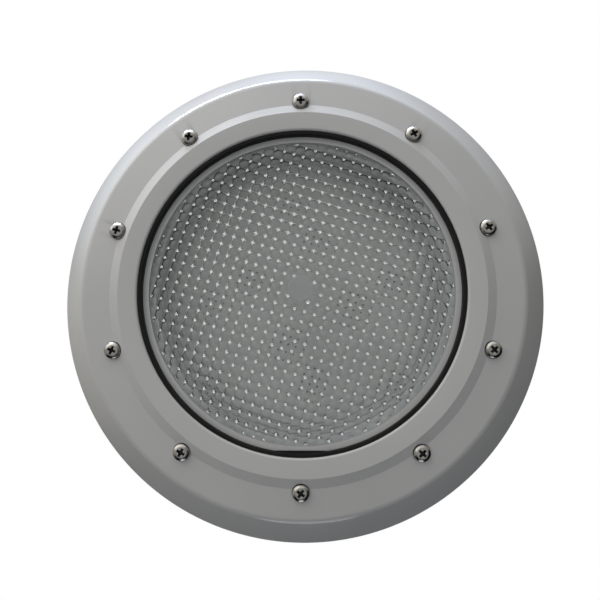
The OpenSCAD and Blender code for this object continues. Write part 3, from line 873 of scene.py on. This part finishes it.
def rear_housing():
    """The wall pot: flange with screw bosses and a seal groove, ribs outside, and a hole for the gland."""
    collar_back = -18
    groove_outer = 97.5
    groove_inner = 90.5
    groove_floor = 6
    inside_r = 88
    body = lathe(rounded([
        (0, housing_back), (pot_r, housing_back, 3.5), (pot_r, collar_back, 0.6),
        (collar_r, collar_back, 1.2), (collar_r, flange_back, 0.3), (housing_r, flange_back, 0.3),
        (housing_r, flange_front, 1.0),
        (groove_outer, flange_front, 0.3), (groove_outer, groove_floor), (groove_inner, groove_floor),
        (groove_inner, flange_front, 0.3), (inside_r, flange_front, 0.6), (inside_r, floor_front, 2.5),
        (0, floor_front)]), 360)
    rib_front = collar_back + 1
    rib_back = housing_back + 1.5
    rib = block((4.5, 3, rib_front - rib_back), (91.75, 0, (rib_front + rib_back) / 2), 0.5)
    ribs = copies(rib, [spun(30 * k + 15) for k in range(12)])
    bosses = copies(rod(5.5, flange_front - 1, boss_top, 0.4), trim_places)
    body = add(add(body, ribs), bosses)
    body = cut(body, copies(rod(3.6, boss_top - 10, boss_top + 1), trim_places))
    fixing = lathe(rounded([(0, 0), (2.75, 0), (2.75, flange_front - 0.3, 0.2), (3.1, flange_front + 0.1),
                            (3.1, flange_front + 1), (0, flange_front + 1)], 3), SMALL_STEPS)
    body = cut(body, copies(fixing, fixing_places))
    body = cut(body, copies(rod(10.05, housing_back - 1, floor_front + 1, steps=96), [gland_place]))
    piece("wall_pot", body, "wall_housing", HOUSING, ["rear_housing"])


def thread_inserts():
    """Knurled brass bushes with threads inside."""
    low = boss_top - 10
    outline = [(2.9, low), (3.4, low), (3.6, low + 0.4)]
    for k in range(5):
        groove = low + 1.4 + k * 1.7
        outline += [(3.6, groove), (3.3, groove + 0.3), (3.3, groove + 0.7), (3.6, groove + 1.0)]
    outline += [(3.6, boss_top - 0.2), (3.4, boss_top), (2.9, boss_top)]
    for k in range(12):
        ridge = boss_top - 0.5 - k * 0.75
        outline += [(2.72, ridge - 0.2), (2.95, ridge - 0.55)]
    inserts = copies(lathe(outline, SMALL_STEPS), trim_places)
    piece("insert_set", inserts, "wall_housing", BRASS, ["thread_inserts"])


def seals():
    """The two-lipped seal in the flange's groove, and the flat gasket between flange and wall."""
    outer, back, front = reach("housing_seal")
    inner = 90.55
    middle = (outer + inner) / 2
    ring = rounded([
        (inner, back), (outer, back), (outer, front, 1.2), (middle + 1, front, 0.4),
        (middle, front - 0.9, 0.5), (middle - 1, front, 0.4), (inner, front, 1.2)], 4)
    piece("groove_seal", lathe(ring, 288), "wall_housing", SEAL_RUBBER, ["housing_seal"])
    outer, back, front = reach("wall_gasket")
    inner = 96
    ring = rounded([(inner, back, 0.2), (outer, back, 0.3), (outer, front, 0.3), (inner, front, 0.2)], 3)
    body = cut(lathe(ring, 288), copies(rod(2.75, back - 1, front + 1), fixing_places))
    piece("flange_gasket", body, "wall_housing", SEAL_RUBBER, ["wall_gasket"])


def threaded(radius, bore, low, high, pitch=1.5, depth=0.55):
    """A tube with thread ridges outside."""
    outline = [(bore, low), (radius - depth, low)]
    for k in range(int((high - low) / pitch)):
        ridge = low + (k + 0.5) * pitch
        outline += [(radius - depth, ridge - 0.45), (radius, ridge - 0.1), (radius, ridge + 0.1),
                    (radius - depth, ridge + 0.45)]
    return lathe(outline + [(radius - depth, high), (bore, high)], 96)


def hexagon(across_flats, low, high, edge):
    """An upright six-sided prism, from its width across flats."""
    corner = across_flats / 2 / math.cos(math.radians(30))
    return prism(arc((0, 0), corner, 0, 300, 5), low, high, edge)


def gland():
    """The cable gland: threaded body with its hexagon, washer, locknut, bush and domed nut."""
    thread = 10.0
    nut_bore = thread + 0.05
    bore = 7.05
    outer = 12.6
    collar_front = housing_back - 1.5
    collar_back = collar_front - 5.5
    tail_back = collar_back - 8
    inner_front = floor_front + 8
    collar_hole = rod(thread - 0.8, collar_back - 1, collar_front + 1, steps=96)
    collar = cut(hexagon(24, collar_back, collar_front, 0.5), collar_hole)
    body = add(threaded(thread, bore, tail_back, inner_front), collar)
    locknut_hole = rod(nut_bore, floor_front - 1, floor_front + 6, steps=96)
    locknut = cut(hexagon(27, floor_front, floor_front + 5, 0.6), locknut_hole)
    washer = lathe(rounded([(nut_bore, collar_front, 0.1), (outer, collar_front, 0.4),
                            (outer, housing_back, 0.4), (nut_bore, housing_back, 0.1)], 3), 96)
    bush_front = housing_back - 4
    bush_back = bush_front - 14
    bush = lathe(rounded([(4.5, bush_back, 0.6), (7.0, bush_back, 0.8), (7.0, bush_front, 0.8),
                          (4.5, bush_front, 0.6)], 3), 96)
    nut_front = collar_back - 1.5
    nut_back = nut_front - 14.5
    seat_back = bush_back - 1.5
    mouth = 6.45
    nut = lathe(rounded([(mouth, nut_back, 0.5), (outer, nut_back, 5.0), (outer, nut_front, 0.5),
                         (nut_bore, nut_front), (nut_bore, seat_back), (mouth, seat_back)]), 192)
    flute = rod(2.0, nut_back + 6, nut_front + 1, steps=32)
    nut = cut(nut, copies(flute, [spun(30 * k) @ shift(13.8) for k in range(12)]))
    parts = [("gland_thread_body", body, "black_nylon", NYLON, "gland_body"),
             ("gland_back_nut", locknut, "black_nylon", NYLON, "gland_locknut"),
             ("gland_flat_seal", washer, "seal_rubber", SEAL_RUBBER, "gland_washer"),
             ("gland_sleeve", bush, "seal_rubber", SEAL_RUBBER, "gland_bush"),
             ("gland_dome_nut", nut, "black_nylon", NYLON, "gland_nut")]
    for name, mesh, slot, surface, node in parts:
        piece(name, copies(mesh, [gland_place]), "wall_housing", surface, [node])


rear_housing()
thread_inserts()
seals()
gland()

# ---- Camera, light and floor ----

CAMERA_AT = (0.0113, -0.3505, -0.0504)
CAMERA_PITCH = 7.64
CAMERA_YAW = 2.05
LENS_MM = 36.0


def camera():
    data = bpy.data.cameras.new("camera")
    data.lens = LENS_MM
    data.sensor_width = 36.0
    data.clip_start = 0.01
    thing = bpy.data.objects.new("camera", data)
    bpy.context.scene.collection.objects.link(thing)
    thing.location = CAMERA_AT
    thing.rotation_euler = (math.radians(90 + CAMERA_PITCH), 0, math.radians(CAMERA_YAW))
    bpy.context.scene.camera = thing


# The studio's lights: degrees off the lamp's axis, degrees round it (0 right, 90 up), colour times strength,
# and the angles from the light's middle at which it starts to fade and is gone.
NEAR_GLOW = (0.2, 0.2, 0.2)
SOFT = (8, 38)
LIGHTS = [(0, 0, NEAR_GLOW, SOFT)] + [(35, 45 * k, NEAR_GLOW, SOFT) for k in range(8)] + [
    (68, 45, (0.25, 0.25, 0.24), SOFT), (68, 90, (1.00, 0.97, 0.90), SOFT),
    (68, 135, (1.48, 1.42, 1.32), SOFT), (68, 180, (0.30, 0.29, 0.27), SOFT),
    (100, 45, (0.50, 0.47, 0.41), SOFT), (100, 90, (0.90, 0.98, 1.12), SOFT),
    (100, 135, (1.10, 1.14, 1.18), SOFT), (100, 180, (0.42, 0.40, 0.34), SOFT),
    (150, 90, (0.4, 0.4, 0.4), SOFT),
    (99, 96, (9.0, 11.0, 15.5), (9, 12)), (99, 115, (20.0, 20.5, 21.0), (8, 11))]


def toward(off_axis, round_axis):
    """The direction at an angle off the lamp's axis and an angle round it."""
    off, turn = math.radians(off_axis), math.radians(round_axis)
    return Vector((math.sin(off) * math.cos(turn), -math.cos(off), math.sin(off) * math.sin(turn)))


def world():
    """A white backdrop for the camera, and the studio's lights round the lamp for everything else."""
    scene_world = bpy.data.worlds.new("studio")
    bpy.context.scene.world = scene_world
    scene_world.use_nodes = True
    tree = scene_world.node_tree
    tree.nodes.clear()
    direction = tree.nodes.new("ShaderNodeTexCoord").outputs["Generated"]

    def glow(axis, colour, full, gone):
        """A round patch of light about an axis, full inside one cosine and gone outside another."""
        dot = tree.nodes.new("ShaderNodeVectorMath")
        dot.operation = "DOT_PRODUCT"
        dot.inputs[1].default_value = axis
        tree.links.new(direction, dot.inputs[0])
        fade = tree.nodes.new("ShaderNodeMapRange")
        fade.interpolation_type = "SMOOTHSTEP"
        fade.inputs["From Min"].default_value = gone
        fade.inputs["From Max"].default_value = full
        tree.links.new(dot.outputs["Value"], fade.inputs["Value"])
        shade = tree.nodes.new("ShaderNodeVectorMath")
        shade.operation = "SCALE"
        shade.inputs[0].default_value = colour
        tree.links.new(fade.outputs["Result"], shade.inputs["Scale"])
        return shade.outputs["Vector"]

    total = None
    for off_axis, round_axis, colour, (full, gone) in LIGHTS:
        axis = toward(off_axis, round_axis)
        part = glow(axis, colour, math.cos(math.radians(full)), math.cos(math.radians(gone)))
        if total is None:
            total = part
            continue
        plus = tree.nodes.new("ShaderNodeVectorMath")
        plus.operation = "ADD"
        tree.links.new(total, plus.inputs[0])
        tree.links.new(part, plus.inputs[1])
        total = plus.outputs["Vector"]
    studio = tree.nodes.new("ShaderNodeBackground")
    tree.links.new(total, studio.inputs["Color"])
    backdrop = tree.nodes.new("ShaderNodeBackground")
    backdrop.inputs["Color"].default_value = (1, 1, 1, 1)
    path = tree.nodes.new("ShaderNodeLightPath")
    mix = tree.nodes.new("ShaderNodeMixShader")
    tree.links.new(path.outputs["Is Camera Ray"], mix.inputs["Fac"])
    tree.links.new(studio.outputs["Background"], mix.inputs[1])
    tree.links.new(backdrop.outputs["Background"], mix.inputs[2])
    output = tree.nodes.new("ShaderNodeOutputWorld")
    tree.links.new(mix.outputs["Shader"], output.inputs["Surface"])


def floor():
    """A plain pale floor, far enough below to leave the lamp free of its shadow."""
    low, high = cad_box
    drop = 2.0
    half = 0.5
    middle = (Vector(low) + Vector(high)) / 2
    bm = bmesh.new()
    bmesh.ops.create_grid(bm, x_segments=1, y_segments=1, size=half)
    bmesh.ops.translate(bm, vec=(middle.x, middle.y, low[2] - drop), verts=bm.verts)
    mesh = bpy.data.meshes.new("floor")
    bm.to_mesh(mesh)
    bm.free()
    s = Surface("floor_paint", (0.8, 0.8, 0.79), 0.6)
    mesh.materials.append(s.mottle(3, 0.02).grain(300, 0.0001).material)
    new_object("floor", mesh)


camera()
world()
floor()
bpy.context.scene.view_settings.view_transform = "Standard"
